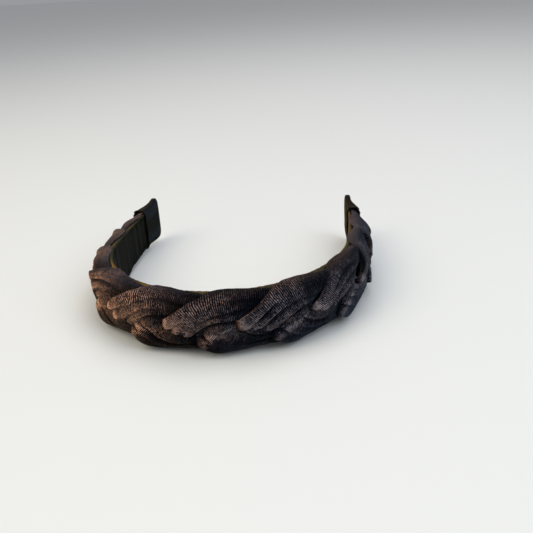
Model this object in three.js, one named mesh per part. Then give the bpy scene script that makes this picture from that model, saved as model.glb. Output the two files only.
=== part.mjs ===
// A braided velvet headband, lying on its lower edge with the crown toward -Y and
// the open tips toward +Y. Millimetres, +Z up, origin at the bottom centre of its box.
//
// The headband is drawn straight first, then bent. A point of the straight band is
//   along   distance along the lining's inner face, 0 at the crown, negative to the left
//   out     distance outward from that face
//   across  height above or below the band's middle line
// and bend() lays it on the U of the headband. The band flexes about the crown, so each
// long piece is a left half and a right half.

import * as THREE from "three";

const { smoothstep, lerp, degToRad } = THREE.MathUtils;

// ---- Driving dimensions -------------------------------------------------------

const CROWN_RADIUS = 64.5;                 // inner face, over the top of the head
const CROWN_SWEEP = degToRad(86.5);        // from the middle to where an arm starts
const ARM_RADIUS = 425;                    // the arms curve slightly inward
const ARM_SWEEP = degToRad(10.5);

const GAP = 0.3;                           // kept between neighbouring pieces
const HALF_SPLIT = 0.15;                   // each half stops this far from the middle

const CROWN_WIDTH = 32;                    // the braid, lower edge to upper edge
const NECK_WIDTH = 24;                     // the braid where the tip wraps begin
const TAPER_START = 70;
const TAPER_END = 153;

const LINING_THICKNESS = 0.7;
const LINING_MARGIN = 2.5;                 // the lining's edge inside the braid's edge
const LINING_END = 166;
const CORE_THICKNESS = 1.4;
const CORE_MARGIN = 3;
const CORE_END = 172;
const BAND_STEPS = 34;

const BRAID_THICKNESS = 10.6;
const BRAID_END = 157;
const BRAID_STEPS = 32;
const FLATTEN_START = 134;                 // the braid thins toward the tip wraps
const FLATTEN_END = 151;
const FLATTEN_SHARE = 0.42;
const PLAIT_SWING = 11.25;                 // how far a strand swings across
const SWING_SQUARING = 0.12;               // slows the swing where a strand crosses over
const PLAIT_PERIOD = 94;                   // a strand, from upper edge to upper edge
const PLAIT_PHASE = 14;                    // where strand a touches the upper edge
const STRAND_RISE = 2.65;                  // how far a strand rises over and sinks under
const RISE_SHARPENING = 0.2;               // makes it cross early and dive steeply
const TILT_OVER = 0.34;                    // slope of a strand that lies over the next one
const TILT_EDGE = 0.06;                    // taken off that slope at the band's edges
const STRAND_NAMES = ["a", "b", "c"];
const STRAND_WIDTH = 14.6;
const STRAND_SPREAD = 3;                   // wider in the middle, narrower at the edges
const STRAND_THICKNESS = 5.2;
const STRAND_PLUMPNESS = 0.7;              // thicker at the edges, thinner in the middle
const STRAND_GAP = 0.45;                   // kept where two strands press together
const STRAND_ROUNDNESS = 2.4;
const STRAND_COLUMNS = [-0.96, -0.62, 0, 0.62, 0.96];   // shares of a strand's half width
const STRAND_REACH = 1.08;                 // how far past its edge a strand still presses
const MOST_PRESSED = 0.45;                 // share of its half thickness that it can lose
const TINY = 1e-6;
const VELVET_THICKNESS = 0.6;
const WADDING_GAP = 0.4;
const WADDING_THINNEST = 0.4;

const WRAP_MOUTH = 151.5;
const WRAP_THICKNESS = 0.8;
const WRAP_MOUTH_WIDTH = 27.4;
const WRAP_TIP_WIDTH = 27;
const WRAP_STEPS = 6;
const WRAP_SLOPE = [0.3, 0.8];             // shares of its length where it slopes to the core
const WRAP_ROUND = 1.6;                    // rounding of its long edges, at most
const WRAP_ROUND_SHARE = 0.3;              // and as a share of its thickness
const TIP_CORNER = 5;                      // the tip's rounded end, seen from outside
const TIP_CORNER_SHARES = [0.93, 0.98];    // extra rings where the end rounds off
const GLUE_START = 158;
const GLUE_END = 165;
const GLUE_THICKNESS = 1.2;
const GLUE_WIDTH = 17;
const GLUE_STEPS = 3;

const CORE_OUT = LINING_THICKNESS + GAP;
const BRAID_OUT = CORE_OUT + CORE_THICKNESS + GAP;
const CROWN_LENGTH = CROWN_RADIUS * CROWN_SWEEP;
const TIP_END = CROWN_LENGTH + ARM_RADIUS * ARM_SWEEP;

// ---- The bent band ------------------------------------------------------------

function bend(along, out, across) {
  const side = Math.sign(along);
  const distance = Math.abs(along);
  const crownSweep = Math.min(distance / CROWN_RADIUS, CROWN_SWEEP);
  const heading = crownSweep + Math.max(distance - CROWN_LENGTH, 0) / ARM_RADIUS;
  const x = CROWN_RADIUS * Math.sin(crownSweep)
    + ARM_RADIUS * (Math.sin(heading) - Math.sin(crownSweep))
    + out * Math.sin(heading);
  const y = -CROWN_RADIUS * Math.cos(crownSweep)
    - ARM_RADIUS * (Math.cos(heading) - Math.cos(crownSweep))
    - out * Math.cos(heading);
  return new THREE.Vector3(side * x, y, across);
}

function braidWidth(along) {
  return lerp(CROWN_WIDTH, NECK_WIDTH, smoothstep(Math.abs(along), TAPER_START, TAPER_END));
}

// Evenly spaced places along one half, side -1 for the left and 1 for the right.
function places(side, start, end, steps) {
  return Array.from({ length: steps + 1 }, (_, i) => side * lerp(start, end, i / steps));
}

// ---- Closed solids from rings -------------------------------------------------

// Joins rings of equal length into one closed body. The end rings get a fan about
// their middle, unless the last ring joins the first one. flip turns the faces over.
function loft(rings, { closed = false, flip = false } = {}) {
  const size = rings[0].length;
  const points = rings.flat();
  const faces = [];
  const joins = closed ? rings.length : rings.length - 1;
  for (let ring = 0; ring < joins; ring += 1) {
    const here = ring * size;
    const there = ((ring + 1) % rings.length) * size;
    for (let corner = 0; corner < size; corner += 1) {
      const next = (corner + 1) % size;
      faces.push(...quad(points, here + corner, here + next, there + next, there + corner));
    }
  }
  if (!closed) {
    faces.push(...fan(points, 0, size, true));
    faces.push(...fan(points, (rings.length - 1) * size, size, false));
  }
  const geometry = new THREE.BufferGeometry().setFromPoints(points);
  geometry.setIndex(faces.flatMap(([a, b, c]) => (flip ? [a, c, b] : [a, b, c])));
  geometry.computeVertexNormals();
  return geometry;
}

// Two triangles, split along the shorter diagonal.
function quad(points, a, b, c, d) {
  const shorter = points[a].distanceTo(points[c]) <= points[b].distanceTo(points[d]);
  return shorter ? [[a, b, c], [a, c, d]] : [[a, b, d], [b, c, d]];
}

function fan(points, start, size, facesBack) {
  const middle = new THREE.Vector3();
  for (let corner = 0; corner < size; corner += 1) middle.add(points[start + corner]);
  const hub = points.push(middle.divideScalar(size)) - 1;
  return Array.from({ length: size }, (_, corner) => {
    const here = start + corner;
    const next = start + ((corner + 1) % size);
    return facesBack ? [next, here, hub] : [here, next, hub];
  });
}

// A flat strip of the band between two distances from the inner face.
function strip(side, end, low, high, widthAt) {
  const rings = places(side, HALF_SPLIT, end, BAND_STEPS).map((along) => {
    const half = widthAt(along) / 2;
    return [
      bend(along, low, -half),
      bend(along, low, half),
      bend(along, high, half),
      bend(along, high, -half),
    ];
  });
  return loft(rings, { flip: side < 0 });
}

// ---- The flat plait -----------------------------------------------------------

// Where one strand crosses a place along the band: how far across and how far out it
// lies, how it tilts like a roof tile, and its width and thickness there.
function strandAt(strand, along) {
  const turn = 2 * Math.PI * ((along - PLAIT_PHASE) / PLAIT_PERIOD + strand / STRAND_NAMES.length);
  const narrow = braidWidth(along) / CROWN_WIDTH;
  const thin = lerp(1, FLATTEN_SHARE, smoothstep(Math.abs(along), FLATTEN_START, FLATTEN_END));
  const rise = -STRAND_RISE * (Math.sin(2 * turn) - RISE_SHARPENING * Math.sin(4 * turn));
  const tilt = TILT_OVER * Math.sin(3 * turn) - TILT_EDGE * Math.sin(turn);
  return {
    across: PLAIT_SWING * narrow * (Math.cos(turn) - SWING_SQUARING * Math.cos(3 * turn)),
    out: BRAID_OUT + thin * (BRAID_THICKNESS / 2 + rise),
    tilt: (thin / narrow) * tilt,
    width: narrow * (STRAND_WIDTH - STRAND_SPREAD * Math.cos(2 * turn)),
    thickness: thin * (STRAND_THICKNESS + STRAND_PLUMPNESS * Math.cos(2 * turn)),
  };
}

// A strand's middle and half thickness at one height, before it meets the others. near
// is 1 across the strand and fades to 0 a little past its edges.
function strandBody(strand, along, across) {
  const place = strandAt(strand, along);
  const offset = across - place.across;
  const share = Math.abs(offset) / (place.width / 2);
  const roundness = Math.max(1 - share ** STRAND_ROUNDNESS, 0) ** (1 / STRAND_ROUNDNESS);
  return {
    middle: place.out + place.tilt * offset,
    half: (place.thickness / 2) * roundness,
    near: 1 - smoothstep(share, 1, STRAND_REACH),
  };
}

// A strand's inner and outer face there, pressed apart from the strands over and under
// it. The thicker of two strands gives way more.
function pressedFaces(strand, along, across) {
  const own = strandBody(strand, along, across);
  let low = own.middle - own.half;
  let high = own.middle + own.half;
  for (let other = 0; other < STRAND_NAMES.length; other += 1) {
    if (other === strand) continue;
    const body = strandBody(other, along, across);
    const apart = Math.abs(body.middle - own.middle);
    const overlap = Math.max(own.half + body.half + STRAND_GAP - apart, 0) * body.near;
    const ownShare = own.half / (own.half + body.half + TINY);
    const giveWay = Math.min(overlap * ownShare, MOST_PRESSED * own.half);
    if (body.middle > own.middle) high = Math.min(high, own.middle + own.half - giveWay);
    else low = Math.max(low, own.middle - own.half + giveWay);
  }
  return { low: Math.max(low, BRAID_OUT), high };
}

// A strand's section at one place, moved inward by an inset but never thinner than
// thinnest.
function strandRing(strand, along, inset, thinnest) {
  const place = strandAt(strand, along);
  const inner = [];
  const outer = [];
  for (const column of STRAND_COLUMNS) {
    const across = place.across + column * (place.width / 2 - inset);
    const { low, high } = pressedFaces(strand, along, across);
    const half = Math.max((high - low) / 2 - inset, thinnest / 2);
    inner.push(bend(along, (low + high) / 2 - half, across));
    outer.unshift(bend(along, (low + high) / 2 + half, across));
  }
  return [...inner, ...outer];
}

// A velvet tube, open at both ends: its outer face, then back along its inner face.
function velvetTube(strand, side) {
  const along = places(side, HALF_SPLIT, BRAID_END, BRAID_STEPS);
  const hollow = WADDING_THINNEST + 2 * GAP;
  const outside = along.map((place) => strandRing(strand, place, 0, TINY));
  const inside = along.map((place) => strandRing(strand, place, VELVET_THICKNESS, hollow));
  return loft([...outside, ...inside.reverse()], { closed: true, flip: side < 0 });
}

// The soft filling of a tube.
function wadding(strand, side) {
  const rings = places(side, HALF_SPLIT, BRAID_END, BRAID_STEPS).map(
    (place) => strandRing(strand, place, VELVET_THICKNESS + WADDING_GAP, WADDING_THINNEST),
  );
  return loft(rings, { flip: side < 0 });
}

// ---- The tips -----------------------------------------------------------------

// The wrap's outer face at a share of its length, 0 at its mouth and 1 at the tip.
function wrapSection(share) {
  const mouthOut = BRAID_OUT + FLATTEN_SHARE * BRAID_THICKNESS + GAP + WRAP_THICKNESS;
  const tipOut = CORE_OUT + CORE_THICKNESS + GAP + WRAP_THICKNESS;
  const intoCorner = Math.max(share - (1 - TIP_CORNER / (TIP_END - WRAP_MOUTH)), 0);
  const corner = intoCorner * (TIP_END - WRAP_MOUTH) / TIP_CORNER;
  return {
    along: lerp(WRAP_MOUTH, TIP_END, share),
    halfWidth: lerp(WRAP_MOUTH_WIDTH, WRAP_TIP_WIDTH, share) / 2
      - TIP_CORNER * (1 - Math.sqrt(1 - corner ** 2)),
    low: -GAP - WRAP_THICKNESS,
    high: lerp(mouthOut, tipOut, smoothstep(share, ...WRAP_SLOPE)),
  };
}

// A rounded section through the wrap, moved inward by an inset.
function wrapRing(side, share, inset) {
  const { along, halfWidth, low, high } = wrapSection(share);
  const half = halfWidth - inset;
  const inner = low + inset;
  const outer = high - inset;
  const round = Math.min((outer - inner) * WRAP_ROUND_SHARE, WRAP_ROUND);
  const corners = [
    [inner, -half + round],
    [inner, half - round],
    [inner + round, half],
    [outer - round, half],
    [outer, half - round],
    [outer, -half + round],
    [outer - round, -half],
    [inner + round, -half],
  ];
  return corners.map(([out, across]) => bend(side * along, out, across));
}

// A fabric sock over the end of the band, open toward the braid.
function tipWrap(side) {
  const shares = Array.from({ length: WRAP_STEPS }, (_, i) => i / WRAP_STEPS);
  const outerShares = [...shares, ...TIP_CORNER_SHARES, 1];
  const outside = outerShares.reverse().map((share) => wrapRing(side, share, 0));
  const insideEnd = 1 - WRAP_THICKNESS / (TIP_END - WRAP_MOUTH);
  const inside = [...shares, insideEnd].map((share) => wrapRing(side, share, WRAP_THICKNESS));
  return loft([...outside, ...inside], { flip: side > 0 });
}

// The set glue that holds the strands' ends on the core, inside the wrap.
function gluePad(side) {
  const rings = places(side, GLUE_START, GLUE_END, GLUE_STEPS).map((along) => {
    const half = GLUE_WIDTH / 2;
    return [
      bend(along, BRAID_OUT, -half),
      bend(along, BRAID_OUT, half),
      bend(along, BRAID_OUT + GLUE_THICKNESS, half - GLUE_THICKNESS),
      bend(along, BRAID_OUT + GLUE_THICKNESS, GLUE_THICKNESS - half),
    ];
  });
  return loft(rings, { flip: side < 0 });
}

// ---- The assembly -------------------------------------------------------------

const FINISHES = {
  velvet: { color: 0x2b2528, roughness: 0.95, metalness: 0 },
  wadding: { color: 0xe8e6e0, roughness: 1, metalness: 0 },
  lining: { color: 0x2e3026, roughness: 0.45, metalness: 0 },
  core: { color: 0x1a1a1c, roughness: 0.5, metalness: 0 },
  wrap: { color: 0x2c271f, roughness: 0.8, metalness: 0 },
  glue: { color: 0xd9d2bd, roughness: 0.35, metalness: 0 },
};

const band = new THREE.Group();

function addPiece(name, finish, geometry) {
  const mesh = new THREE.Mesh(geometry, new THREE.MeshStandardMaterial(FINISHES[finish]));
  mesh.name = name;
  band.add(mesh);
}

for (const [sideName, side] of [["left", -1], ["right", 1]]) {
  const liningWidth = (along) => braidWidth(along) - 2 * LINING_MARGIN;
  const coreWidth = (along) => braidWidth(along) - 2 * CORE_MARGIN;
  const lining = strip(side, LINING_END, 0, LINING_THICKNESS, liningWidth);
  const core = strip(side, CORE_END, CORE_OUT, CORE_OUT + CORE_THICKNESS, coreWidth);
  addPiece(`lining_${sideName}`, "lining", lining);
  addPiece(`core_${sideName}`, "core", core);
  STRAND_NAMES.forEach((name, strand) => {
    addPiece(`strand_${name}_${sideName}`, "velvet", velvetTube(strand, side));
    addPiece(`wadding_${name}_${sideName}`, "wadding", wadding(strand, side));
  });
  addPiece(`glue_pad_${sideName}`, "glue", gluePad(side));
  addPiece(`tip_wrap_${sideName}`, "wrap", tipWrap(side));
}

const box = new THREE.Box3().setFromObject(band);
const middle = box.getCenter(new THREE.Vector3());
band.position.set(-middle.x, -middle.y, -box.min.z);

const group = new THREE.Group();
group.add(band);

export default group;
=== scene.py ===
# A braided velvet headband lying on its lower edge: three padded velvet tubes plaited
# flat over a springy core, a satin lining inside and a fabric wrap over each tip.
import math

import bpy
import numpy as np
from mathutils import Matrix, Vector


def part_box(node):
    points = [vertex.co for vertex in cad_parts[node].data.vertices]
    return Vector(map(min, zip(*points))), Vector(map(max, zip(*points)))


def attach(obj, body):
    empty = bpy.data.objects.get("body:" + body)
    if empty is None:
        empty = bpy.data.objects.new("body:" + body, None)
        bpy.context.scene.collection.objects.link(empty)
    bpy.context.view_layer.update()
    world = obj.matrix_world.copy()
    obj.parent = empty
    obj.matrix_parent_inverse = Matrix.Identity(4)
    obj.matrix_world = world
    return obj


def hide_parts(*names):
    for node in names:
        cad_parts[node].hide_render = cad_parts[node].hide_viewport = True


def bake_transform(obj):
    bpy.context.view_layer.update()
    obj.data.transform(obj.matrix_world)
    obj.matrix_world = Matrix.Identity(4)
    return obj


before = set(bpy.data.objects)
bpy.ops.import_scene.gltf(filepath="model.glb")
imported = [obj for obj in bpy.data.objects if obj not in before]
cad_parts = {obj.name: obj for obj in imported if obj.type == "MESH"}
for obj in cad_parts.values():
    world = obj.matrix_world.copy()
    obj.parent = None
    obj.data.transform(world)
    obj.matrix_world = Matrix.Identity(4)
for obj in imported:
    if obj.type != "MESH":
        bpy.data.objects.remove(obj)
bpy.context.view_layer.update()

MM = 0.001
FULL_TURN = 2 * math.pi

# ---- The bent band -------------------------------------------------------------
# A point of the straight band is (along, out, across) in millimetres: the distance
# along the lining's inner face from the crown, the distance outward from that face,
# and the height above the band's middle line.

CROWN_RADIUS = 64.5
CROWN_SWEEP = math.radians(86.5)
ARM_RADIUS = 425.0
ARM_SWEEP = math.radians(10.5)
CROWN_LENGTH = CROWN_RADIUS * CROWN_SWEEP
TIP_END = CROWN_LENGTH + ARM_RADIUS * ARM_SWEEP

CROWN_WIDTH = 32.0
NECK_WIDTH = 24.0
TAPER_START = 70.0
TAPER_END = 153.0

LINING_OUT = 0.7
CORE_OUT = 1.0
CORE_THICKNESS = 1.4
BRAID_OUT = 2.7
BRAID_THICKNESS = 10.6

LINING_BOX = (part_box("lining_left"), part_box("lining_right"))
MIDDLE_X = 0.5 * (LINING_BOX[0][0][0] + LINING_BOX[1][1][0]) / MM
MIDDLE_Z = 0.5 * (LINING_BOX[0][0][2] + LINING_BOX[0][1][2]) / MM
CROWN_Y = min(LINING_BOX[0][0][1], LINING_BOX[1][0][1]) / MM + CROWN_RADIUS + LINING_OUT


def smoothstep(x, low, high):
    t = np.clip((x - low) / (high - low), 0.0, 1.0)
    return t * t * (3.0 - 2.0 * t)


def hump(x, middle, spread):
    return np.exp(-(((x - middle) / spread) ** 2))


def bend(along, out, across):
    """Points of the straight band laid on the U, in metres."""
    along, out, across = np.broadcast_arrays(along, out, across)
    side = np.where(along < 0, -1.0, 1.0)
    distance = np.abs(along)
    crown = np.minimum(distance / CROWN_RADIUS, CROWN_SWEEP)
    heading = crown + np.maximum(distance - CROWN_LENGTH, 0.0) / ARM_RADIUS
    x = CROWN_RADIUS * np.sin(crown) + ARM_RADIUS * (np.sin(heading) - np.sin(crown))
    y = -CROWN_RADIUS * np.cos(crown) - ARM_RADIUS * (np.cos(heading) - np.cos(crown))
    x = side * (x + out * np.sin(heading)) + MIDDLE_X
    y = y - out * np.cos(heading) + CROWN_Y
    return np.stack([x, y, across + MIDDLE_Z], axis=-1) * MM


def band_width(along):
    share = smoothstep(np.abs(along), TAPER_START, TAPER_END)
    return CROWN_WIDTH + (NECK_WIDTH - CROWN_WIDTH) * share


# ---- Smooth noise ----------------------------------------------------------------

WAVE_COUNT = 6
WAVE_SPREAD = (0.6, 1.9)     # the waves' lengths, as shares of the one asked for
WAVE_HEIGHT = 1.2            # the sum is divided by this, so that it stays about -1 to 1
WAVE_HEADINGS = (0.2, 0.85, 1.5, 2.1, 2.75)


class Waves:
    """Smooth noise of one value, about -1 to 1, from a few seeded sine waves."""

    def __init__(self, seed, wavelength):
        draw = np.random.default_rng(seed)
        self.rates = FULL_TURN / (wavelength * draw.uniform(*WAVE_SPREAD, WAVE_COUNT))
        self.phases = draw.uniform(0, FULL_TURN, WAVE_COUNT)

    def __call__(self, x):
        x = np.asarray(x, float)[..., None]
        return np.sin(x * self.rates + self.phases).sum(-1) / math.sqrt(WAVE_COUNT) / WAVE_HEIGHT


def even_noise(seed, wavelength, u, v):
    """Smooth noise over a surface with coordinates u and v, with no direction of its own."""
    total = 0.0
    for k, angle in enumerate(WAVE_HEADINGS):
        total = total + Waves(seed + k, wavelength)(u * math.cos(angle) + v * math.sin(angle))
    return total / math.sqrt(len(WAVE_HEADINGS))


# ---- Meshes --------------------------------------------------------------------

def cloth_uv(run, round_it):
    """A grid of UVs in centimetres, from millimetres along a piece and round it."""
    return np.stack(np.broadcast_arrays(run[:, None], round_it[None, :]), axis=-1) / 10


def grid_mesh(name, points, uv):
    """Rings of points, (rings, corners, 3), joined into one closed mesh with cloth UVs."""
    rings, corners, _ = points.shape
    faces, face_uv = [], []
    for i in range(rings - 1):
        here, there = i * corners, (i + 1) * corners
        for j in range(corners):
            k = (j + 1) % corners
            faces.append((here + j, here + k, there + k, there + j))
            face_uv += [uv[i, j], uv[i, j + 1], uv[i + 1, j + 1], uv[i + 1, j]]
    faces.append(tuple(range(corners - 1, -1, -1)))
    face_uv += [uv[0, j] for j in range(corners - 1, -1, -1)]
    faces.append(tuple((rings - 1) * corners + j for j in range(corners)))
    face_uv += [uv[-1, j] for j in range(corners)]
    mesh = bpy.data.meshes.new(name)
    mesh.from_pydata(points.reshape(-1, 3).tolist(), [], faces)
    layer = mesh.uv_layers.new(name="cloth")
    layer.data.foreach_set("uv", np.asarray(face_uv, np.float32).ravel())
    mesh.polygons.foreach_set("use_smooth", [True] * len(mesh.polygons))
    mesh.update()
    piece = bpy.data.objects.new(name, mesh)
    bpy.context.scene.collection.objects.link(piece)
    return piece


# ---- The plait -----------------------------------------------------------------

STRANDS = ("a", "b", "c")
BRAID_END = 157.5
RING_STEP = 0.5
RING_CORNERS = 128
SECTION_STEPS = 4001     # a strand's section is measured with this many points

PLAIT_SWING = 8.3        # how far a strand swings across
SWING_SQUARING = 0.10    # slows the swing where a strand crosses over
PLAIT_LOW = 2.2          # the crossings lie this far below the band's middle line
PLAIT_PERIOD = 94.0
PLAIT_PHASE = 14.0
TURN_WANDER, TURN_WANDER_LENGTH = 0.10, 60   # radians, and millimetres
FLATTEN_START, FLATTEN_END, FLATTEN_SHARE = 140.0, 155.0, 0.44

STRAND_WIDTH = 18.6
EDGE_NARROWER = 2.2      # a strand is this much narrower where it turns at a band edge
STRAND_THICKNESS = 5.8
EDGE_THICKER = 1.3       # and this much thicker
STRAND_ROUNDNESS = 2.5   # 2 is an ellipse, more is squarer
TILT_OVER, TILT_EDGE = 0.30, 0.06   # a strand's slope like a roof tile, less at the edges

# Angles along the plait are in degrees, 180 from one petal to the strand's next.
RISE = 2.9
PEAK = 92.0              # how far past the edge a strand stands highest
DIVE = 22.0              # over how much it goes under the next one
CLIMB = 180.0 - DIVE     # over how much it climbs
SLANT = 11.5             # by how much one edge of a strand runs ahead of its middle
LOBE, LOBE_UNEVEN = 11.0, 5.0       # by how much each pleat's end reaches further
LOBE_BACK = 10.0         # moves all the lobes back, to the dive's own place
LOBE_MIX = (12.9, 7.7)   # turn a pleat's and a petal's number into an uneven value
HEAD_MIDDLE, HEAD_SPREAD = 74.0, 44.0   # where a strand shows as a petal's head

VALLEYS = (-0.48, -0.02, 0.46, 1)   # where the pleats' valleys lie across a strand, and its edge
VALLEY_WANDER, VALLEY_WANDER_LENGTH = 0.12, 38
RIDGE_LEAN, RIDGE_BLUNTNESS = 0.70, 0.55
RIDGE_LEVEL = 0.88       # a pleat this high lies on the strand's own surface
PLEAT_DEPTH = 2.2
PLEAT_FAR, PLEAT_AT_HEAD = 0.38, 0.85   # the depth away from a head, and what a head adds
PLEAT_MEAN, PLEAT_UNEVEN, PLEAT_LENGTH = 0.62, 0.72, 26.0
PLEAT_LEAST, PLEAT_MOST = 0.08, 1.25
LANE_APART = 9.0         # keeps one valley's noise apart from the next one's
UNDERSIDE_SHARE = 0.3    # of a pleat's depth, on the side toward the core
RIM_START, RIM_FADE = 0.55, 0.7     # pleats fade toward the strand's edges
RIM_SHARE = 0.4
MOTTLE, MOTTLE_LENGTH = 0.07, 3.4
CREASE, CREASE_LENGTH, CREASE_STRETCH = 0.13, 9.0, 0.35

EDGE_CURL_START = 8.0    # past this height the braid curls in toward the lining
EDGE_CURL = 0.085
SQUEEZE_START, SQUEEZE_END = 12.0, 16.0   # the plait is pressed flat toward its edges
CEILING_START, CEILING_ROOM = 12.0, 2.4   # and pressed a little flat on its outer face
BESIDE_START, BESIDE_END = 13.6, 15.0     # past the core's edge it may reach further in
BESIDE_OUT = 0.5
LEAST_THICKNESS = 0.05

# The pile's painted shade and painted highlights, 0 to 1.
SHADE_BASE, SHADE_PLEAT, SHADE_FOLD, SHADE_RIM = 0.10, 0.36, 0.35, 0.60
SHADE_SHARPNESS = 1.5
FOLD_PLACE, FOLD_WIDTH = 0.16, 0.08     # the painted highlight on the fold beside a valley, in shares of a pleat
RIM_PLACE, RIM_WIDTH = CLIMB - 1.0, 5.0     # the painted highlight on the rim of a petal's head, in degrees
RIM_IN_VALLEY = 0.4
SHADE_MIDDLE, SHADE_HEIGHT = 0.64, 0.36     # painted shade on lower strands: the level halfway up, and what the highest place adds
# painted shade where a strand dives under the next one
FALLEN_START, FALLEN_END, FALLEN_DARKER = CLIMB + 5.0, CLIMB + 0.75 * DIVE, 0.85
LOW_EDGE, LOW_EDGE_END, LOW_EDGE_SHADE = -12.0, 3.0, 0.34   # painted shade: the lower edge is darker

WADDING_INSET, WADDING_SUNK = 1.7, 0.8
WADDING_STEP = 1.5
WADDING_CORNERS_SKIPPED = 4
LUMP, LUMP_LENGTH, LUMP_WIDTH = 0.25, 6, 0.4

TURN_SEED, VALLEY_SEED, MOTTLE_SEED, CREASE_SEED, PLEAT_SEED = 100, 200, 300, 320, 340
LUMP_ALONG_SEED, LUMP_ACROSS_SEED = 500, 510


def squared_circle(turn, roundness):
    """The point at each turn of a rounded square of half size 1."""
    power = 2.0 / roundness
    x = np.sign(np.cos(turn)) * np.abs(np.cos(turn)) ** power
    y = np.sign(np.sin(turn)) * np.abs(np.sin(turn)) ** power
    return x, y


def section_table():
    """Even steps round a flat rounded section: across and out shares, and the normal."""
    q, h = squared_circle(np.linspace(0, FULL_TURN, SECTION_STEPS), STRAND_ROUNDNESS)
    a, b = STRAND_WIDTH / 2, STRAND_THICKNESS / 2
    length = np.concatenate([[0], np.cumsum(np.hypot(np.diff(a * q), np.diff(b * h)))])
    even = np.linspace(0, length[-1], RING_CORNERS + 1)[:-1]
    q, h = np.interp(even, length, q), np.interp(even, length, h)
    tangent = np.stack([np.roll(a * q, -1) - np.roll(a * q, 1), np.roll(b * h, -1) - np.roll(b * h, 1)])
    tangent /= np.hypot(*tangent)
    return q, h, tangent[1], -tangent[0], length[-1]


SECTION_Q, SECTION_H, NORMAL_Q, NORMAL_H, PERIMETER = section_table()


def strand_height(phase):
    """-1 where a strand lies lowest, 1 where it stands highest. phase is in degrees since
    it lay lowest: it climbs up to CLIMB, then dives."""
    climbing = -np.cos(np.pi * np.clip(phase / CLIMB, 0, 1))
    diving = np.cos(np.pi * np.clip((phase - CLIMB) / DIVE, 0, 1))
    return np.where(phase < CLIMB, climbing, diving)


class StrandPath:
    """A strand's middle line, with one row for each ring."""

    def __init__(self, strand, step):
        count = int(round(2 * BRAID_END / step)) + 1
        along = np.linspace(-BRAID_END, BRAID_END, count)
        turn = FULL_TURN * ((along - PLAIT_PHASE) / PLAIT_PERIOD + strand / len(STRANDS))
        turn = turn + TURN_WANDER * Waves(TURN_SEED + strand, TURN_WANDER_LENGTH)(along)
        narrow = band_width(along) / CROWN_WIDTH
        thin = 1 + (FLATTEN_SHARE - 1) * smoothstep(np.abs(along), FLATTEN_START, FLATTEN_END)
        swing = PLAIT_SWING * (np.cos(turn) - SWING_SQUARING * np.cos(3 * turn)) / (1 - SWING_SQUARING)
        swing = narrow * (swing - PLAIT_LOW * thin * np.sin(turn) ** 2)
        flow = np.arctan(np.gradient(swing, along))
        run = np.concatenate([[0], np.cumsum(np.hypot(np.diff(along), np.diff(swing)))])
        self.along, self.turn, self.narrow, self.thin = (x[:, None] for x in (along, turn, narrow, thin))
        self.swing, self.flow, self.run = (x[:, None] for x in (swing, flow, run))


def pleat_lane(strand, path):
    """Which pleat of a strand a point is on: 0 to 4 across it, whole in the valleys."""
    lane = np.zeros((len(path.along), RING_CORNERS))
    low = np.full_like(path.along, -1.0)
    for k, middle in enumerate(VALLEYS):
        wander = VALLEY_WANDER * Waves(VALLEY_SEED + 10 * strand + k, VALLEY_WANDER_LENGTH)(path.along)
        high = np.full_like(path.along, 1.0) if middle == 1 else middle + wander
        share = (SECTION_Q - low) / (high - low)
        lane = np.where((share >= 0) & (share <= 1), k + np.clip(share, 0, 0.9999), lane)
        low = high
    return lane


def pressed_flat(out, across, path):
    """The plait's surface curled in at the band's edges and pressed toward the core."""
    beyond = np.maximum(np.abs(across) / path.narrow - EDGE_CURL_START, 0)
    out = out - path.thin * EDGE_CURL * beyond ** 2
    past = np.maximum(np.abs(across) / path.narrow - SQUEEZE_START, 0)
    room = SQUEEZE_END - SQUEEZE_START
    squeezed = np.sign(across) * path.narrow * (SQUEEZE_START + room * np.tanh(past / room))
    across = np.where(past > 0, squeezed, across)
    high = np.maximum(out - CEILING_START, 0)
    out = np.where(high > 0, CEILING_START + CEILING_ROOM * np.tanh(high / CEILING_ROOM), out)
    beside = smoothstep(np.abs(across) / path.narrow, BESIDE_START, BESIDE_END)
    least = BRAID_OUT - (BRAID_OUT - BESIDE_OUT) * beside
    return np.maximum(out, least + LEAST_THICKNESS * SECTION_H), across


def painted_pile_light(phase, height, head, share, ridge, deep):
    """Painted light on the pile: painted shade in the valleys, under the next strand and on lower
    strands, and painted highlights on the pleats' folds and on the rims of the heads."""
    fold = hump(share, FOLD_PLACE, FOLD_WIDTH) * head
    rim = hump(phase, RIM_PLACE, RIM_WIDTH) * (RIM_IN_VALLEY + (1 - RIM_IN_VALLEY) * ridge)
    pleat = 1 - np.minimum(deep, 1) * (1 - ridge ** SHADE_SHARPNESS)
    shade = SHADE_BASE + SHADE_PLEAT * pleat + SHADE_FOLD * fold * deep + SHADE_RIM * rim
    fallen = smoothstep(phase, FALLEN_START, FALLEN_END)
    return shade * (SHADE_MIDDLE + SHADE_HEIGHT * height) * (1 - FALLEN_DARKER * fallen)


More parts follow.
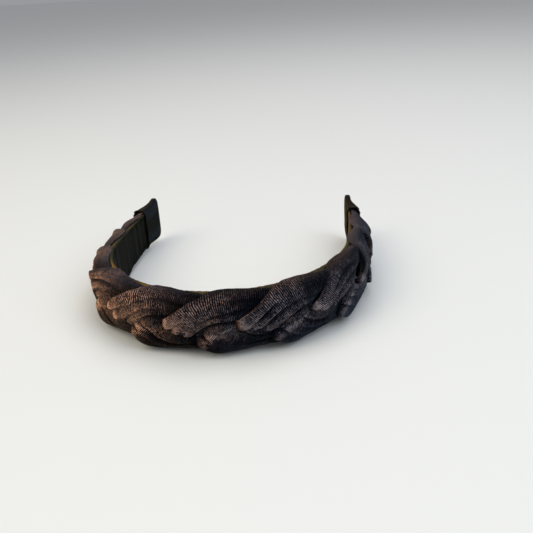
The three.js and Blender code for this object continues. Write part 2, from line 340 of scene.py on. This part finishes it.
def strand_rings(strand, inset=0.0, sunk=0.0, pleats=1.0, step=RING_STEP):
    """The strand's rings in band coordinates, the run along it, and the painted shade and
    highlights of its pile, 0 to 1. inset makes it slimmer, sunk moves it inward."""
    path = StrandPath(strand, step)
    q, h, turn, thin = SECTION_Q[None, :], SECTION_H[None, :], path.turn, path.thin
    width = path.narrow * (STRAND_WIDTH - EDGE_NARROWER * np.cos(2 * turn)) / 2 - inset
    thick = thin * ((STRAND_THICKNESS + EDGE_THICKER * np.cos(2 * turn)) / 2 - inset)

    lane = pleat_lane(strand, path)
    share = lane - np.floor(lane)
    ridge = np.maximum(np.sin(np.pi * share ** RIDGE_LEAN), 0) ** RIDGE_BLUNTNESS
    unevenness = even_noise(PLEAT_SEED + strand, PLEAT_LENGTH, path.run, LANE_APART * np.round(lane))
    deep = np.clip(PLEAT_MEAN + PLEAT_UNEVEN * unevenness, PLEAT_LEAST, PLEAT_MOST)
    petal = np.floor(-turn / math.pi)
    late = np.sin(LOBE_MIX[0] * np.floor(lane) + LOBE_MIX[1] * petal + strand)
    round_it = PERIMETER * np.arange(RING_CORNERS)[None, :] / RING_CORNERS
    mottle = even_noise(MOTTLE_SEED + strand, MOTTLE_LENGTH, path.run, round_it)
    creases = even_noise(CREASE_SEED + strand, CREASE_LENGTH, path.run, CREASE_STRETCH * round_it)

    degrees = -np.degrees(turn)
    slant = SLANT * q * (-np.sin(turn))
    inner = 1 - RIM_FADE * smoothstep(np.abs(q), RIM_START, 1.0)
    lobes = (LOBE * ridge + LOBE_UNEVEN * late * ridge) * pleats * inner
    phase = np.mod(degrees - slant - lobes + LOBE_BACK - (PEAK + DIVE), 180.0)
    height = strand_height(phase)
    head = hump(np.mod(degrees - slant, 180.0), HEAD_MIDDLE, HEAD_SPREAD)
    tilt = (thin / path.narrow) * (TILT_OVER * np.sin(3 * turn) - TILT_EDGE * np.sin(turn))

    depth = pleats * PLEAT_DEPTH * thin * deep * (PLEAT_FAR + PLEAT_AT_HEAD * head) * (ridge - RIDGE_LEVEL)
    depth = depth * np.where(h > 0, 1.0, UNDERSIDE_SHARE) * (RIM_SHARE + (1 - RIM_SHARE) * inner)
    depth = depth + pleats * thin * (MOTTLE * mottle + CREASE * creases * inner)
    side = width * q + depth * NORMAL_Q
    out = thick * h + depth * NORMAL_H + tilt * width * q
    out = out + BRAID_OUT + thin * (BRAID_THICKNESS / 2 + RISE * height - sunk)
    place = path.along - side * np.sin(path.flow)
    across = path.swing + side * np.cos(path.flow)
    out, across = pressed_flat(out, across, path)
    # Painted shade and highlights on the pile, with painted shade toward the band's lower edge.
    above_edge = smoothstep(across / path.narrow, LOW_EDGE, LOW_EDGE_END)
    shade = painted_pile_light(phase, height, head, share, ridge, deep)
    shade = shade * (LOW_EDGE_SHADE + (1 - LOW_EDGE_SHADE) * above_edge)
    return place, out, across, path.run[:, 0], shade


def strand_piece(strand, name):
    """A velvet tube. Its mesh carries the pile's painted shade and highlights as a point attribute."""
    place, out, across, run, shade = strand_rings(strand)
    round_it = np.linspace(0, PERIMETER, RING_CORNERS + 1)
    piece = grid_mesh(name, bend(place, out, across), cloth_uv(run, round_it))
    painted_light = piece.data.attributes.new("painted_light", "FLOAT", "POINT")
    painted_light.data.foreach_set("value", np.clip(shade, 0, 1).astype(np.float32).ravel())
    return piece


def wadding_piece(strand, name):
    """The loose filling, a plain rope inside the tube with a lumpy surface."""
    rings = strand_rings(strand, WADDING_INSET, WADDING_SUNK, pleats=0.0, step=WADDING_STEP)
    place, out, across, run, _ = rings
    keep = slice(0, RING_CORNERS, WADDING_CORNERS_SKIPPED)
    place, out, across = place[:, keep], out[:, keep], across[:, keep]
    lump_along = Waves(LUMP_ALONG_SEED + strand, LUMP_LENGTH)(run)[:, None]
    lump_across = Waves(LUMP_ACROSS_SEED + strand, LUMP_WIDTH)(SECTION_Q[keep])[None, :]
    points = bend(place, out + LUMP * lump_along * lump_across, across)
    round_it = np.linspace(0, PERIMETER, points.shape[1] + 1)
    return grid_mesh(name, points, cloth_uv(run, round_it))


strands = [strand_piece(k, f"velvet_strand_{name}") for k, name in enumerate(STRANDS)]
waddings = [wadding_piece(k, f"wadding_rope_{name}") for k, name in enumerate(STRANDS)]


# ---- The core --------------------------------------------------------------------

CORE_HALF_MARGIN = 3.0
CORE_END = 172.0
CORE_RINGS = 345
CORE_ROUNDING = 0.6
CORE_TIP_LENGTH, CORE_TIP_NARROWING = 7, 6.0
CORE_UV_STEP = 0.6
CORNER_STEPS = 4


def rounded_ring(low, high, half, radius):
    """A rounded rectangle as out and across, for arrays low, high and half."""
    corners = [(high, half, 0), (low, half, 90), (low, -half, 180), (high, -half, 270)]
    points = []
    for out, across, start in corners:
        for i in range(CORNER_STEPS + 1):
            angle = math.radians(start + 90 * i / CORNER_STEPS)
            toward_out = radius * (np.cos(angle) - (1 if start in (0, 270) else -1))
            toward_across = radius * (np.sin(angle) - (1 if start in (0, 90) else -1))
            points.append((out + toward_out, across + toward_across))
    return np.stack([p[0] for p in points], -1), np.stack([p[1] for p in points], -1)


def core_piece():
    along = np.linspace(-CORE_END, CORE_END, CORE_RINGS)
    half = band_width(along) / 2 - CORE_HALF_MARGIN
    tip = smoothstep(np.abs(along), CORE_END - CORE_TIP_LENGTH, CORE_END)
    half = half - CORE_TIP_NARROWING * tip ** 2
    low = np.full_like(along, CORE_OUT)
    out, across = rounded_ring(low, low + CORE_THICKNESS, half, CORE_ROUNDING)
    round_it = np.arange(out.shape[1] + 1) * CORE_UV_STEP
    return grid_mesh("core_strip", bend(along[:, None], out, across), cloth_uv(along, round_it))


# ---- The lining ------------------------------------------------------------------

LINING_END = 166.0
LINING_RINGS, LINING_COLUMNS = 665, 61
LINING_HALF_MARGIN = 1.5
LINING_THICKNESS = 0.45
LINING_CLEARANCE = 0.05
TURN_IN = 3.4            # how far the ribbon's edges fold over the core's edges
TURN_RADIUS = 1.15
EDGE_V = 1.44            # where the fold over the edge begins, in the cloth UVs
LINING_BULGE = 0.32
RIPPLE_LONG, RIPPLE_LONG_LENGTH = 0.16, 9
RIPPLE_SHORT, RIPPLE_SHORT_LENGTH = 0.10, 4
RIPPLE_ACROSS, RIPPLE_ACROSS_LENGTH = 0.4, 0.8
PUCKER, PUCKER_LENGTH, PUCKER_WIDTH = 0.18, 2.6, 3.0
RIPPLE_LONG_SEED, RIPPLE_SHORT_SEED, RIPPLE_ACROSS_SEED, PUCKER_SEED = 700, 701, 702, 703


def lining_piece():
    """A satin ribbon glued inside the core, with both edges folded over it."""
    along = np.linspace(-LINING_END, LINING_END, LINING_RINGS)
    share = np.linspace(-1, 1, LINING_COLUMNS)
    half = (band_width(along) / 2 - LINING_HALF_MARGIN)[:, None]
    flat_half = half + TURN_IN
    reach = np.abs(share)[None, :] * flat_half
    straight = half - TURN_RADIUS
    turned = np.clip((reach - straight) / TURN_RADIUS, 0, math.pi)
    rest = np.maximum(reach - straight - math.pi * TURN_RADIUS, 0)
    across = np.minimum(reach, straight) + TURN_RADIUS * np.sin(turned) - rest
    across = np.sign(share)[None, :] * across
    out = TURN_RADIUS - TURN_RADIUS * np.cos(turned)
    ripple = RIPPLE_LONG * Waves(RIPPLE_LONG_SEED, RIPPLE_LONG_LENGTH)(along)[:, None]
    ripple = ripple + RIPPLE_SHORT * Waves(RIPPLE_SHORT_SEED, RIPPLE_SHORT_LENGTH)(along)[:, None]
    ripple = ripple * (1 + RIPPLE_ACROSS * Waves(RIPPLE_ACROSS_SEED, RIPPLE_ACROSS_LENGTH)(share)[None, :])
    near_edge = smoothstep(reach, straight - PUCKER_WIDTH, straight)
    pucker = PUCKER * Waves(PUCKER_SEED, PUCKER_LENGTH)(along)[:, None] * near_edge
    out = out + (LINING_BULGE + ripple) * (turned < 1.0) * (1 - turned) + pucker
    back_out = out + LINING_THICKNESS * np.cos(turned)
    back_across = across - np.sign(share)[None, :] * LINING_THICKNESS * np.sin(turned)
    face = bend(along[:, None], out + LINING_CLEARANCE, across)
    back = bend(along[:, None], back_out + LINING_CLEARANCE, back_across)
    points = np.concatenate([face, back[:, ::-1]], axis=1)
    widths = share * float(flat_half.max())
    uv = cloth_uv(along, np.concatenate([widths, widths[::-1], widths[:1]]))
    return grid_mesh("satin_lining", points[:, ::-1], uv[:, ::-1])


# ---- The tip wraps ---------------------------------------------------------------
# Starts and ends named here are shares of the wrap's length, 0 at its mouth.

WRAP_MOUTH = 151.5
WRAP_LENGTH = TIP_END - WRAP_MOUTH
WRAP_STEPS = 90
WRAP_CORNERS = 96
WRAP_GIRTH = 62
WRAP_WALL = 0.7
WRAP_ROUNDNESS = 4.5     # of its section: 2 is an ellipse, more is squarer
WRAP_CORNER = 4.2        # radius of the tip's rounded end, seen from outside
WRAP_LINED_END = 0.93    # how far up the sock its inside reaches
WRAP_HALF = 12.3
FLARE, FLARE_START, FLARE_END = 1.35, 0.25, 0.9
LIP, LIP_END = 0.9, 0.18
WRAP_IN = 0.7            # how far it stands in from the lining's inner face
MOUTH_HIGH = 7.9
SLOPE, SLOPE_START, SLOPE_END = 4.2, 0.12, 0.72
END_THICKNESS, END_BLUNTNESS = 0.25, 0.6   # the share of its thickness left at the very end
GATHER, GATHER_FADE, GATHER_WIDTH = 0.30, 5.0, 1.6
WRAP_CREASE, WRAP_CREASE_LENGTH, WRAP_CREASE_WIDTH = 0.12, 3.0, 2.2
SWELL_OUT, SWELL_ACROSS = 0.25, 0.04       # how the gathers and creases change its section
MOUTH_BULGE = 0.5
LEAN, LEAN_AFTER, LEAN_START = 0.06, 6, 0.3
GATHER_SEED, CREASE_ALONG_SEED, CREASE_ROUND_SEED = 800, 801, 802


def tip_wrap_piece(side, name):
    """A fabric sock over the tip: gathered at its mouth, flared and rounded at its end."""
    share = np.linspace(0, 1, WRAP_STEPS)[:, None]
    away = share * WRAP_LENGTH
    into = np.clip((away - (WRAP_LENGTH - WRAP_CORNER)) / WRAP_CORNER, 0, 1)
    round_off = np.sqrt(np.maximum(1 - into ** 2, 0))
    flare = FLARE * smoothstep(share, FLARE_START, FLARE_END)
    lip = LIP * (1 - smoothstep(share, 0.0, LIP_END))
    half = WRAP_HALF + flare + lip - WRAP_CORNER * (1 - round_off)
    high = MOUTH_HIGH - SLOPE * smoothstep(share, SLOPE_START, SLOPE_END)
    middle = (high - WRAP_IN) / 2
    thick = (high + WRAP_IN) / 2 * (END_THICKNESS + (1 - END_THICKNESS) * round_off ** END_BLUNTNESS)
    turn = np.linspace(0, FULL_TURN, WRAP_CORNERS, endpoint=False)[None, :]
    h, q = squared_circle(turn, WRAP_ROUNDNESS)
    gather = GATHER * np.exp(-away / GATHER_FADE) * Waves(GATHER_SEED, GATHER_WIDTH)(turn * 3)
    crease = WRAP_CREASE * Waves(CREASE_ALONG_SEED, WRAP_CREASE_LENGTH)(away)
    crease = crease * Waves(CREASE_ROUND_SEED, WRAP_CREASE_WIDTH)(turn * 2)
    out = middle + thick * h * (1 + SWELL_OUT * (gather + crease))
    across = half * q * (1 + SWELL_ACROSS * (gather + crease))
    lean = LEAN * (away - LEAN_AFTER) * smoothstep(share, LEAN_START, 1.0)
    along = side * (WRAP_MOUTH + away + MOUTH_BULGE * np.sin(turn) * (1 - share))
    outer = bend(along, out, across + lean)
    inner = bend(along, middle + (thick - WRAP_WALL) * h, (half - WRAP_WALL) * q + lean)
    keep = share[:, 0] < WRAP_LINED_END
    points = np.concatenate([outer[::-1], inner[keep]])
    if side > 0:
        points = points[:, ::-1]
    run = np.concatenate([away[::-1, 0], away[keep, 0] + WRAP_LENGTH])
    return grid_mesh(name, points, cloth_uv(run, np.linspace(0, WRAP_GIRTH, WRAP_CORNERS + 1)))


core = core_piece()
lining = lining_piece()
tips = {side: tip_wrap_piece(sign, f"fabric_tip_{side}") for side, sign in (("left", -1), ("right", 1))}


# ---- Materials --------------------------------------------------------------------

class Material:
    """A small helper round one node material with a Principled shader."""

    def __init__(self, name, **sockets):
        self.material = bpy.data.materials.new(name)
        self.material.use_nodes = True
        self.tree = self.material.node_tree
        self.shader = self.tree.nodes["Principled BSDF"]
        for socket, value in sockets.items():
            self.shader.inputs[socket.replace("_", " ")].default_value = value

    def node(self, kind, **settings):
        made = self.tree.nodes.new(kind)
        for key, value in settings.items():
            if key in made.inputs:
                made.inputs[key].default_value = value
            else:
                setattr(made, key, value)
        return made

    def link(self, source, target):
        self.tree.links.new(source, target)

    def cloth(self, scale=(1, 1, 1)):
        """The cloth UVs, in centimetres."""
        uv = self.node("ShaderNodeUVMap", uv_map="cloth")
        mapping = self.node("ShaderNodeMapping", Scale=scale)
        self.link(uv.outputs["UV"], mapping.inputs["Vector"])
        return mapping.outputs["Vector"]

    def solid(self):
        """The place on the object, in millimetres."""
        place = self.node("ShaderNodeTexCoord")
        mapping = self.node("ShaderNodeMapping", Scale=(1 / MM,) * 3)
        self.link(place.outputs["Object"], mapping.inputs["Vector"])
        return mapping.outputs["Vector"]

    def noise(self, vector, scale, detail=3.0, roughness=0.55):
        made = self.node("ShaderNodeTexNoise", Scale=scale, Detail=detail, Roughness=roughness)
        self.link(vector, made.inputs["Vector"])
        return made.outputs["Fac"]

    def ribs(self, vector, pitch, wobble=0.0, along="X"):
        """Even ribs, 0 to 1, across the named direction; wobble makes them waver."""
        split = self.node("ShaderNodeSeparateXYZ")
        self.link(vector, split.inputs["Vector"])
        turn = self.math("MULTIPLY", split.outputs[along], FULL_TURN / pitch)
        waver = self.math("MULTIPLY", self.noise(vector, 0.35 / pitch, detail=1.0), 4 * wobble)
        wave = self.math("SINE", self.math("ADD", turn, waver), 0.0)
        return self.scaled(wave, 0.5, 0.5)

    def math(self, operation, a, b):
        made = self.node("ShaderNodeMath", operation=operation)
        for socket, value in zip(made.inputs, (a, b)):
            if isinstance(value, (int, float)):
                socket.default_value = value
            else:
                self.link(value, socket)
        return made.outputs["Value"]

    def scaled(self, value, factor, offset):
        return self.math("ADD", self.math("MULTIPLY", value, factor), offset)

    def mixed(self, a, share_a, b, share_b):
        return self.math("ADD", self.math("MULTIPLY", a, share_a), self.math("MULTIPLY", b, share_b))

    def ramp(self, fac, stops):
        made = self.node("ShaderNodeValToRGB")
        ramp = made.color_ramp
        while len(ramp.elements) < len(stops):
            ramp.elements.new(0.5)
        for element, (position, color) in zip(ramp.elements, stops):
            element.position = position
            element.color = (*color, 1)
        self.link(fac, made.inputs["Fac"])
        return made.outputs["Color"]

    def color(self, source):
        self.link(source, self.shader.inputs["Base Color"])

    def bump(self, height, distance, strength=1.0):
        made = self.node("ShaderNodeBump", Distance=distance, Strength=strength)
        self.link(height, made.inputs["Height"])
        self.link(made.outputs["Normal"], self.shader.inputs["Normal"])


# Pitches and the satin's edge are in centimetres, as in the cloth UVs.
RIB_PITCH = 0.074
SATIN_THREAD_PITCH = 0.035
SATIN_EDGE_SOFTNESS = 0.14
TIP_RIB_PITCH = 0.045
BRUSHED_SCALE = (1.0, 0.4, 1)        # soft patches, longer round a strand than along it
SATIN_STREAK_SCALE = (1.0, 0.12, 1)

RIB_SHARPNESS, RIB_VALLEY = 2.0, 0.20       # light tips also show a little between ribs
SPECKLE, SPECKLE_CUT = 5.0, 1.75
BRUSHED, BRUSHED_LEAST = 1.3, 0.2
# how the painted shade and highlights sharpen and brighten the pile's tips
PAINTED_LIGHT_SHARPNESS, PAINTED_LIGHT_GAIN = 1.3, 1.85

PILE_ROOT = (0.0015, 0.0014, 0.0016)
PILE_DARK = (0.0125, 0.0112, 0.0130)
PILE_LIGHT = (0.29, 0.202, 0.160)
PILE_SHEEN = (0.93, 0.88, 0.90, 1)
# the satin's colours: its light streaks are painted reflection of the sheen
SATIN_DARK = (0.0014, 0.0015, 0.0008)
SATIN_LIGHT = (0.0048, 0.0049, 0.0021)
# painted highlight on the satin's folded edges
SATIN_EDGE_HIGHLIGHT = (0.040, 0.031, 0.012, 1)
TIP_DARK = (0.0034, 0.0031, 0.0018)
TIP_LIGHT = (0.0105, 0.0092, 0.0048)
WADDING_DARK = (0.55, 0.54, 0.50)
WADDING_LIGHT = (0.88, 0.87, 0.84)
CORE_DARK = (0.006, 0.006, 0.007)
CORE_LIGHT = (0.014, 0.014, 0.015)
GLUE_DARK = (0.60, 0.55, 0.42)
GLUE_LIGHT = (0.74, 0.70, 0.58)


def velvet_material():
    """Ribbed pile: speckled light tips along the ribs, most of them on the crests, where the strands'
    painted shade and highlights are lightest.
    """
    m = Material("ribbed_velvet", Roughness=0.95, Sheen_Weight=0.09, Sheen_Roughness=0.25)
    m.shader.inputs["Sheen Tint"].default_value = PILE_SHEEN
    m.shader.inputs["Specular IOR Level"].default_value = 0.0
    ribs = m.ribs(m.cloth(), RIB_PITCH, wobble=1.4)
    pile = m.noise(m.solid(), 1.0, detail=5, roughness=0.8)
    brushed = m.noise(m.cloth(BRUSHED_SCALE), 2.2)
    # painted shade and highlights, read from the strands' meshes
    painted_light = m.node("ShaderNodeAttribute", attribute_name="painted_light").outputs["Fac"]
    rib_tops = m.math("ADD", m.math("POWER", ribs, RIB_SHARPNESS), RIB_VALLEY)
    tips = m.math("MULTIPLY", rib_tops, m.scaled(pile, SPECKLE, -SPECKLE_CUT))
    lit = m.math("MULTIPLY", m.math("MAXIMUM", tips, 0.0), m.scaled(brushed, BRUSHED, BRUSHED_LEAST))
    painted_light_factor = m.math("MULTIPLY", m.math("POWER", painted_light, PAINTED_LIGHT_SHARPNESS), PAINTED_LIGHT_GAIN)
    lit = m.math("MULTIPLY", lit, painted_light_factor)
    m.color(m.ramp(lit, [(0.03, PILE_ROOT), (0.20, PILE_DARK), (0.80, PILE_LIGHT)]))
    m.bump(m.mixed(ribs, 0.6, pile, 1.2), distance=0.00045)
    return m.material


def satin_material():
    """Dark olive satin with faint streaks whose colour is painted reflection of its sheen, and a painted
    highlight along its folded edge.
    """
    m = Material("dark_satin", Roughness=0.52)
    m.shader.inputs["Specular IOR Level"].default_value = 0.02
    m.shader.inputs["Anisotropic"].default_value = 0.4
    streaks = m.noise(m.cloth(SATIN_STREAK_SCALE), 1.0, detail=1.5)
    thread = m.ribs(m.cloth(), SATIN_THREAD_PITCH, wobble=0.5, along="Y")
    split = m.node("ShaderNodeSeparateXYZ")
    m.link(m.cloth(), split.inputs["Vector"])
    # painted highlight along the folded edges
    edge = m.node("ShaderNodeMapRange", interpolation_type="SMOOTHSTEP")
    m.link(m.math("ABSOLUTE", split.outputs["Y"], 0.0), edge.inputs["Value"])
    edge.inputs["From Min"].default_value = EDGE_V - SATIN_EDGE_SOFTNESS
    edge.inputs["From Max"].default_value = EDGE_V
    mix = m.node("ShaderNodeMix", data_type="RGBA")
    m.link(edge.outputs["Result"], mix.inputs["Factor"])
    # painted reflection: the streaks in the satin's colour
    m.link(m.ramp(streaks, [(0.30, SATIN_DARK), (0.72, SATIN_LIGHT)]), mix.inputs[6])
    mix.inputs[7].default_value = SATIN_EDGE_HIGHLIGHT
    m.color(mix.outputs[2])
    m.bump(m.mixed(streaks, 1.0, thread, 0.03), distance=0.0005, strength=0.2)
    return m.material


def tip_material():
    m = Material("ribbed_tip_cloth", Roughness=0.85, Sheen_Weight=0.04, Sheen_Roughness=0.3)
    m.shader.inputs["Specular IOR Level"].default_value = 0.02
    ribs = m.ribs(m.cloth(), TIP_RIB_PITCH, along="Y")
    worn = m.noise(m.solid(), 0.5, detail=5, roughness=0.7)
    m.color(m.ramp(m.mixed(ribs, 0.45, worn, 0.55), [(0.20, TIP_DARK), (0.75, TIP_LIGHT)]))
    m.bump(m.math("ADD", ribs, worn), distance=0.0002)
    return m.material


def wadding_material():
    m = Material("polyester_wadding", Roughness=0.95, Sheen_Weight=0.5)
    fibre = m.noise(m.solid(), 0.9, detail=6, roughness=0.75)
    m.color(m.ramp(fibre, [(0.35, WADDING_DARK), (0.65, WADDING_LIGHT)]))
    m.bump(fibre, distance=0.0006)
    return m.material


def core_material():
    m = Material("black_core_plastic", Roughness=0.5)
    grain = m.noise(m.solid(), 1.6, detail=4)
    m.color(m.ramp(grain, [(0.35, CORE_DARK), (0.65, CORE_LIGHT)]))
    m.bump(grain, distance=0.00008)
    return m.material


def glue_material():
    m = Material("hot_melt_glue", Roughness=0.3, Subsurface_Weight=0.2)
    cloud = m.noise(m.solid(), 0.4, detail=4)
    m.color(m.ramp(cloud, [(0.3, GLUE_DARK), (0.7, GLUE_LIGHT)]))
    m.bump(cloud, distance=0.0003)
    return m.material


velvet = velvet_material()
wadding = wadding_material()
tip_cloth = tip_material()
glue = glue_material()
lining.data.materials.append(satin_material())
core.data.materials.append(core_material())

# ---- What moves with what -----------------------------------------------------------


def flexes(piece, slot, *nodes):
    """A continuous piece, bent over the crown, that stands for two CAD halves."""
    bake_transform(piece)
    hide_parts(*nodes)


for name, strand, rope in zip(STRANDS, strands, waddings):
    strand.data.materials.append(velvet)
    rope.data.materials.append(wadding)
    flexes(strand, "velvet", f"strand_{name}_left", f"strand_{name}_right")
    flexes(rope, "wadding", f"wadding_{name}_left", f"wadding_{name}_right")

flexes(lining, "lining", "lining_left", "lining_right")
flexes(core, "core", "core_left", "core_right")

for side, tip in tips.items():
    tip.data.materials.append(tip_cloth)
    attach(tip, f"{side}_half")
    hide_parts(f"tip_wrap_{side}")
    pad = bpy.data.objects[f"glue_pad_{side}"]
    pad.material_slots[0].material = glue

# ---- Camera ----------------------------------------------------------------------
# In metres. The camera looks along +Y and down before YAW turns it about the middle.

PITCH, ROLL, YAW = math.radians(24.5), math.radians(-3.9), math.radians(-8.8)
FOCAL_PX, IMAGE_PX, SENSOR = 700.0, 533, 36.0
DISTANCE = 0.4267
AIM_X, AIM_Y = -0.0188, -0.0210    # how far the middle lies from the view's centre line
MIDDLE_Y = 0.0066

forward = Vector((0, math.cos(PITCH), -math.sin(PITCH)))
right = Vector((1, 0, 0))
up = right.cross(forward)
right, up = (math.cos(ROLL) * right + math.sin(ROLL) * up, -math.sin(ROLL) * right + math.cos(ROLL) * up)
turn_back = Matrix.Rotation(-YAW, 3, "Z")
position = turn_back @ (-forward * DISTANCE - Vector((AIM_X, AIM_Y, 0))) + Vector((0, MIDDLE_Y, 0))
axes = Matrix((turn_back @ right, turn_back @ up, turn_back @ -forward)).transposed()
lens = bpy.data.cameras.new("camera")
lens.sensor_width = SENSOR
lens.lens = FOCAL_PX / IMAGE_PX * SENSOR
lens.clip_start = 0.01
camera = bpy.data.objects.new("camera", lens)
camera.matrix_world = Matrix.Translation(position) @ axes.to_4x4()
bpy.context.scene.collection.objects.link(camera)
bpy.context.scene.camera = camera

# ---- Sky, table and lights ---------------------------------------------------------

SKY_COLOR, SKY_STRENGTH = (0.93, 0.95, 1.0, 1), 0.34
TABLE_COLOR = (0.88, 0.88, 0.87, 1)
TABLE_REACH = 3
LIGHT_TARGET = (0, 0, 0.02)

world = bpy.data.worlds.new("studio")
world.use_nodes = True
world.node_tree.nodes["Background"].inputs["Color"].default_value = SKY_COLOR
world.node_tree.nodes["Background"].inputs["Strength"].default_value = SKY_STRENGTH
bpy.context.scene.world = world
bpy.context.scene.view_settings.view_transform = "Standard"


def floor_piece():
    r = TABLE_REACH
    mesh = bpy.data.meshes.new("floor")
    mesh.from_pydata([(-r, -r, 0), (r, -r, 0), (r, r, 0), (-r, r, 0)], [], [(0, 1, 2, 3)])
    piece = bpy.data.objects.new("floor", mesh)
    bpy.context.scene.collection.objects.link(piece)
    table = Material("pale_table", Roughness=0.6)
    table.shader.inputs["Base Color"].default_value = TABLE_COLOR
    mesh.materials.append(table.material)
    return piece


floor = floor_piece()


def area_light(name, place, size, power, color):
    data = bpy.data.lights.new(name, "AREA")
    data.shape = "DISK"
    data.size = size
    data.energy = power
    data.color = color
    lamp = bpy.data.objects.new(name, data)
    lamp.location = place
    toward = Vector(LIGHT_TARGET) - Vector(place)
    lamp.rotation_euler = toward.to_track_quat("-Z", "Y").to_euler()
    bpy.context.scene.collection.objects.link(lamp)
    return lamp


def light_only(lamps, state):
    """Lets the lamps light the table alone (INCLUDE) or all but the table (EXCLUDE)."""
    group = bpy.data.collections.new(f"table_{state.lower()}d")
    group.objects.link(floor)
    group.collection_objects[0].light_linking.link_state = state
    for lamp in lamps:
        lamp.light_linking.receiver_collection = group


area_light("ceiling", place=(0.1, 0.40, 1.1), size=1.0, power=4.4, color=(1.0, 0.99, 0.98))
windows = (
    area_light("warm_window", place=(-0.56, -0.12, 0.24), size=0.40, power=18.0, color=(1.0, 0.64, 0.36)),
    area_light("cool_window", place=(0.60, -0.36, 0.55), size=0.40, power=9.0, color=(0.34, 0.58, 1.0)),
)
table_lights = (
    area_light("warm_table_light", place=(-0.60, -0.40, 0.80), size=0.9, power=4.4, color=(1.0, 0.91, 0.70)),
    area_light("cool_table_light", place=(0.70, -0.40, 0.80), size=0.9, power=4.4, color=(0.82, 0.92, 1.0)),
)
light_only(windows, "EXCLUDE")
light_only(table_lights, "INCLUDE")
